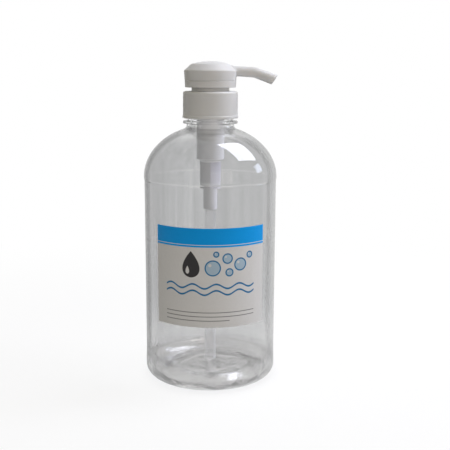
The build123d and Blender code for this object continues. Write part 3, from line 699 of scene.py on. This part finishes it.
# head: turned cap with a bevelled crown and a stem socket, and the bent spout carried along its own path
headSpec = dict(seam=191.322, seamRadius=16.25, chamfer=0.25, wallHigh=197.622, wallRadius=16.65, bevelHigh=201.722,
                bevelRadius=12.0, crown=203.422, crownCurve=43.2, crownEdge=8.0, crownRows=16, bevelRounding=0.9,
                crownRounding=3.2, cavity=15.03, cavityHigh=196.822, ceiling=200.122, ceilingRadius=11.2, socket=6.4,
                socketLow=191.012, stemHole=4.05, stemTop=196.172, fine=0.1, seamEdge=0.12, edge=0.2, socketEdge=0.3,
                socketRoot=0.5, cavityRound=0.6, columns=160)
spoutSpec = dict(radius=3.1, bore=1.9, level=198.1, kneeX=28.0, kneeZ=196.622, tipX=40.4, tipZ=192.1, bend=12.0,
                 bendSteps=40, bendGuard=0.4, rootX=7.0, rootStart=0.01, rootRun=(12.0, 12.4), rootRows=48,
                 tipRun=(0.8, 1.0), tipRows=44, lip=0.3, boreLip=0.25, boreDepth=9.0, boreRoot=0.2, boreReach=0.01,
                 lean=0.2605, leanRun=6.0, flare=0.45, flareRun=0.4, swell=0.35, swellFrom=10.0, leadReach=0.2,
                 columns=56)


def headSheet():
    # outline (r, z) turned once round Z; the crown is a cap of a sphere, z = crown - curve + sqrt(curve^2 - r^2)
    h = headSpec
    crownR = np.linspace(h["crownEdge"], 0, h["crownRows"])
    crown = np.stack([crownR, h["crown"] - h["crownCurve"] + np.sqrt(h["crownCurve"] ** 2 - crownR ** 2)], -1)
    outline = np.concatenate([
        roundedRun([(0, h["stemTop"], 0), (h["stemHole"], h["stemTop"], h["fine"]),
                    (h["stemHole"], h["socketLow"], h["edge"]), (h["socket"], h["socketLow"], h["socketEdge"]),
                    (h["socket"], h["ceiling"], h["socketRoot"]),
                    (h["ceilingRadius"], h["ceiling"], h["cavityRound"]),
                    (h["cavity"], h["cavityHigh"], h["cavityRound"]), (h["cavity"], h["seam"], h["fine"]),
                    (h["seamRadius"] - h["chamfer"], h["seam"], h["fine"]),
                    (h["seamRadius"], h["seam"] + h["chamfer"], h["seamEdge"]),
                    (h["wallRadius"], h["wallHigh"], h["bevelRounding"]),
                    (h["bevelRadius"], h["bevelHigh"], h["crownRounding"]), (*crown[0], 0)], steps=9),
        crown[1:]])
    return turnedRun(outline, h["columns"])


def spoutSheet():
    # circle carried along a bent path: path point + width (cos a sideways + sin a square to the path)
    s, h = spoutSpec, headSpec
    slope = (s["kneeZ"] - s["level"]) / s["kneeX"]
    path = roundedRun([(s["rootX"], s["level"] + slope * s["rootX"], 0), (s["kneeX"], s["kneeZ"], s["bend"]),
                       (s["tipX"], s["tipZ"], 0)], steps=s["bendSteps"], guard=s["bendGuard"])
    length = np.concatenate([[0], np.cumsum(np.linalg.norm(np.diff(path, axis=0), axis=1))])
    end = length[-1]
    # rows of (distance along the path, radius): root cap, outer wall, rounded lip, bore and its blind end
    rows = np.concatenate([
        [[0, 0]], straight((s["rootStart"], s["radius"]), (s["rootRun"][0], s["radius"]), s["rootRows"]),
        straight((s["rootRun"][1], s["radius"]), (end - s["tipRun"][1], s["radius"]), s["tipRows"]),
        roundedRun([(end - s["tipRun"][0], s["radius"], 0), (end, s["radius"], s["lip"]),
                    (end, s["bore"], s["boreLip"]), (end - s["boreDepth"], s["bore"], s["boreRoot"]),
                    (end - s["boreDepth"], 0, 0)])])
    at, radius = rows[:, 0], rows[:, 1:]

    def onPath(distance):
        return np.stack([np.interp(distance, length, path[:, 0]), np.interp(distance, length, path[:, 1])], -1)

    axisX, axisZ = onPath(at).T[..., None]
    lead = unit(onPath(at + s["leadReach"]) - onPath(at - s["leadReach"]))
    around = roundAngles(s["columns"])
    side, high = np.cos(around), np.sin(around)
    # the root flares where the tube leaves the head: x = sqrt(R(z)^2 - y^2) on the head's surface
    surface = np.interp(axisZ + s["radius"] * high, [h["seam"], h["wallHigh"], h["bevelHigh"], h["crown"]],
                        [h["seamRadius"], h["wallRadius"], h["bevelRadius"], 0])
    leaves = np.sqrt(np.maximum(surface ** 2 - (s["radius"] * side) ** 2, 0))
    flare = s["flare"] * np.exp(-np.maximum(axisX - leaves, 0) / s["flareRun"])
    # the tube also widens towards its mouth, which is cut off square to a steeper line
    swell = s["swell"] * np.clip((at[:, None] - s["swellFrom"]) / (end - s["swellFrom"]), 0, 1)
    lean = s["lean"] * np.clip((at[:, None] - end + s["leanRun"]) / s["leanRun"], 0, 1)
    outer = radius > s["bore"] + s["boreReach"]
    wide = radius + outer * (swell + flare)
    along = lean * wide * high
    x = axisX - lead[:, 1:] * wide * high + lead[:, :1] * along
    z = axisZ + lead[:, :1] * wide * high + lead[:, 1:] * along
    return np.stack([x, wide * side, z], -1)


headSheets = [(headSheet(), False, True), (spoutSheet(), False, True)]
makePiece("headCap", headSheets, white, "head", ["actuator_head"])


# housing: stepped cylinder with a flange under the collar, soft edges and a socket for the dip tube
housingSpec = dict(bore=7.6, radius=8.85, high=187.512, flange=14.55, flangeHigh=183.212, flangeLow=181.612,
                   stepLow=141.162, stepWall=1.2, slope=1.0, wellRadius=6.75, wellBore=5.5, wellLow=125.212,
                   floor=126.412, foot=4.53, footLow=109.81, socket=3.63, stop=116.81, orifice=1.8,
                   orificeHigh=118.01, pocket=3.3, seatHigh=119.80, fine=0.1, edge=0.2, footEdge=0.25, stepEdge=0.35,
                   columns=96)


def housingSheet():
    # closed outline (r, z) turned once round Z
    h = housingSpec
    stepInside = h["stepLow"] + h["stepWall"]
    outline = roundedRun([(h["bore"], h["high"], h["edge"]), (h["bore"], stepInside + h["slope"], h["edge"]),
                          (h["wellBore"], stepInside, h["edge"]), (h["wellBore"], h["floor"], h["edge"]),
                          (h["pocket"], h["floor"], h["fine"]), (h["pocket"], h["seatHigh"], h["fine"]),
                          (h["orifice"], h["orificeHigh"], h["fine"]), (h["orifice"], h["stop"], h["fine"]),
                          (h["socket"], h["stop"], h["fine"]), (h["socket"], h["footLow"], h["edge"]),
                          (h["foot"], h["footLow"], h["footEdge"]), (h["foot"], h["wellLow"], h["footEdge"]),
                          (h["wellRadius"], h["wellLow"], h["stepEdge"]),
                          (h["wellRadius"], h["stepLow"], h["stepEdge"]),
                          (h["radius"], h["stepLow"] + h["slope"], h["stepEdge"]),
                          (h["radius"], h["flangeLow"], h["stepEdge"]), (h["flange"], h["flangeLow"], h["edge"]),
                          (h["flange"], h["flangeHigh"], h["edge"]), (h["radius"], h["flangeHigh"], h["edge"]),
                          (h["radius"], h["high"], h["edge"])], closed=True)
    return turnedRun(outline, h["columns"])


makePiece("housingTube", [(housingSheet(), True, True)], milkyHousing, "pump_core", ["pump_housing"])


# dip tube: plain tube down to the bottle's floor
tubeSpec = dict(radius=3.6, bore=2.7, low=8.5, high=116.78, edge=0.2, columns=72)


def tubeSheet():
    # closed outline (r, z) turned once round Z
    t = tubeSpec
    outline = roundedRun([(t["bore"], t["low"], t["edge"]), (t["radius"], t["low"], t["edge"]),
                          (t["radius"], t["high"], t["edge"]), (t["bore"], t["high"], t["edge"])], closed=True)
    return turnedRun(outline, t["columns"])


makePiece("dipTube", [(tubeSheet(), True, True)], milkyTube, "pump_core", ["dip_tube"])


# return spring: wire carried along a helix with close end turns, stretched between the cage and the rod
springSpec = dict(radius=4.3, wire=0.8, low=128.44, high=142.78, turns=7.5, foot=128.012, head=143.212,
                  endTurns=0.5, closeRise=0.86, openRise=2.6, tip=0.8, rows=260, columns=14)


def springSheet():
    # helix (radius cos t, radius sin t, height) + half the wire times (cos a outwards + sin a upwards)
    s = springSpec
    turn = np.linspace(0, s["turns"], s["rows"])
    ease = np.clip(np.minimum(turn, s["turns"] - turn) - s["endTurns"], 0, 1)
    # rise in one turn, small near both ends
    rate = s["closeRise"] + (s["openRise"] - s["closeRise"]) * ease * ease * (3 - 2 * ease)
    climb = np.concatenate([[0], np.cumsum((rate[1:] + rate[:-1]) / 2 * np.diff(turn))])
    height = s["low"] + climb * (s["high"] - s["low"]) / climb[-1]
    angle = 2 * pi * turn
    out = np.stack([np.cos(angle), np.sin(angle), 0 * angle], -1)
    axis = out * s["radius"] + np.stack([0 * angle, 0 * angle, height], -1)
    lead = unit(np.gradient(axis, axis=0))
    up = np.cross(lead, out)
    around = roundAngles(s["columns"])[:, None]
    taper = np.concatenate([[0, s["tip"]], np.ones(len(turn) - 4), [s["tip"], 0]])[:, None, None]
    return axis[:, None] + s["wire"] / 2 * taper * (np.cos(around) * out[:, None] + np.sin(around) * up[:, None])


spring = makePiece("returnSpring", [(springSheet(), False, True)], steel, nodes=["return_spring"])
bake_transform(spring)


# inner pieces that keep their own shape
innerFinish = dict(neck_gasket=seal, stem_seal=seal, piston_seal=seal, plunger_stem=white, piston_rod=white,
                   ball_cage=white, inlet_ball=glass)
for nodeName, finish in innerFinish.items():
    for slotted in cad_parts[nodeName].material_slots:
        slotted.material = finish
print("pieces made")


# floor, window light, soft fill, side light and the white background
stageSpec = dict(floor=-0.0003, half=4.0, cells=8, floorTone=0.22, floorSpan=0.01, floorScale=6.0, floorGlow=0.81,
                 bounceTone=0.56, contact=0.038, contactSoft=0.02, paintedShadowTone=0.78, fadeFrom=0.12, fadeTo=0.45,
                 ambient=0.235, ambientColour=(1.0, 0.95, 0.76, 1))
windowSpec = dict(centre=(0.566, 0.166, 0.957), across=(0.536, -0.496, -0.683), along=(0.721, 0.690, 0.064),
                  width=0.728, height=0.671, power=10.4, colour=(0.865, 0.885, 1.0))
fillSpec = dict(centre=(0.45, -1.25, 0.34), target=(0, 0, 0.1), size=0.9, power=4.2, colour=(1.0, 0.92, 0.88),
                mirrored=False)
sideSpec = dict(centre=(0.95, 0.09, 0.44), target=(0, 0, 0.14), size=0.25, power=0.8, colour=(0.72, 0.8, 1.0))


def seenRay(wire):  # 1 for rays that show the background: from the camera, off gloss and through clear plastic
    rays = wire.node("ShaderNodeLightPath", output="Is Camera Ray")
    direct = wire.sums("MAXIMUM", rays, rays.sibling("Is Glossy Ray"))
    return wire.sums("MAXIMUM", direct, rays.sibling("Is Transmission Ray"))


def paleFloor():
    s = stageSpec
    material, wire, place = newMaterial("paleFloor")
    cloud = noiseOn(wire, place, s["floorScale"])
    tone = cloud.blendColour(grey(s["floorTone"]), grey(s["floorTone"] + s["floorSpan"]))
    away = lengthOf(wire, place)
    # painted shadow: the floor's glow is darker under the bottle
    glow = away.above(s["contact"], s["contactSoft"]).blendColour(grey(s["paintedShadowTone"]), grey(1.0))
    near = wire.node("ShaderNodeAddShader", {}, {
        0: wire.node("ShaderNodeBsdfDiffuse", {}, {"Color": tone}),
        1: wire.node("ShaderNodeEmission", {}, {"Color": glow, "Strength": s["floorGlow"]})})
    far = wire.node("ShaderNodeEmission", {}, {"Color": grey(1.0), "Strength": 1.0})
    fade = wire.node("ShaderNodeMapRange", {"interpolation_type": "SMOOTHSTEP"}, {
        "Value": away, "From Min": s["fadeFrom"], "From Max": s["fadeTo"]})
    lit = wire.node("ShaderNodeBsdfDiffuse", {}, {"Color": grey(s["bounceTone"])})
    showOn(wire, mixed(wire, seenRay(wire), lit, mixed(wire, fade, near, far)))
    return material


def makeFloor():  # level square grid
    cells, half = stageSpec["cells"], stageSpec["half"]
    row = cells + 1
    side = np.linspace(-half, half, row)
    spots = np.stack([*np.meshgrid(side, side), np.full((row, row), stageSpec["floor"])], -1).reshape(-1, 3)
    i, j = np.divmod(np.arange(cells * cells), cells)
    first = i * row + j
    mesh = bpy.data.meshes.new("paleFloor")
    mesh.from_pydata(spots.tolist(), [], np.stack([first, first + 1, first + row + 1, first + row], -1).tolist())
    mesh.materials.append(paleFloor())
    floor = bpy.data.objects.new("paleFloor", mesh)
    bpy.context.scene.collection.objects.link(floor)


def makeWorld():
    world = bpy.data.worlds.new("paleRoom")
    bpy.context.scene.world = world
    world.use_nodes = True
    world.node_tree.nodes.clear()
    wire = Wire(world.node_tree)
    seen = seenRay(wire)
    sky = wire.node("ShaderNodeBackground", {}, {
        "Color": seen.blendColour(stageSpec["ambientColour"], grey(1.0)),
        "Strength": stageSpec["ambient"] + (1 - stageSpec["ambient"]) * seen})
    wire.node("ShaderNodeOutputWorld", {}, {"Surface": sky})


def areaLamp(name, spec, matrix):
    lamp = bpy.data.lights.new(name, "AREA")
    lamp.shape, lamp.size, lamp.size_y = "RECTANGLE", spec["width"], spec["height"]
    lamp.energy, lamp.color = spec["power"], spec["colour"]
    holder = bpy.data.objects.new(name, lamp)
    holder.matrix_world = matrix
    holder.visible_glossy = spec.get("mirrored", True)
    bpy.context.scene.collection.objects.link(holder)


def lampMatrix(centre, across, along):  # columns: width, height and their cross product, then the place
    x = unit(np.array(across))
    y = unit(np.array(along) - x * np.dot(along, x))
    rows = np.stack([x, y, np.cross(x, y), np.array(centre)], -1)
    return Matrix(np.vstack([rows, [0, 0, 0, 1]]).tolist())


makeFloor()
makeWorld()
areaLamp("windowLight", windowSpec, lampMatrix(windowSpec["centre"], windowSpec["across"], windowSpec["along"]))
for lampName, spec in (("softFill", fillSpec), ("sideLight", sideSpec)):
    towards = unit(np.array(spec["centre"]) - np.array(spec["target"]))
    level = np.cross([0, 0, 1], towards)
    areaLamp(lampName, dict(spec, width=spec["size"], height=spec["size"]),
             lampMatrix(spec["centre"], level, np.cross(towards, level)))
print("light set")


# camera at the photograph's place
cameraSpec = dict(place=(0.0, -0.5106, 0.19695), tilt=0.1897, yaw=0.0187, roll=0.0044, lens=63.87, sensor=36.0)
camera = bpy.data.objects.new("viewCamera", bpy.data.cameras.new("viewCamera"))
camera.data.lens, camera.data.sensor_width = cameraSpec["lens"], cameraSpec["sensor"]
camera.matrix_world = (Matrix.Translation(cameraSpec["place"]) @ Matrix.Rotation(-cameraSpec["yaw"], 4, "Z")
                       @ Matrix.Rotation(pi / 2 - cameraSpec["tilt"], 4, "X")
                       @ Matrix.Rotation(cameraSpec["roll"], 4, "Z"))
bpy.context.scene.collection.objects.link(camera)
bpy.context.scene.camera = camera
bpy.context.scene.view_settings.view_transform = "Standard"
print("camera set")
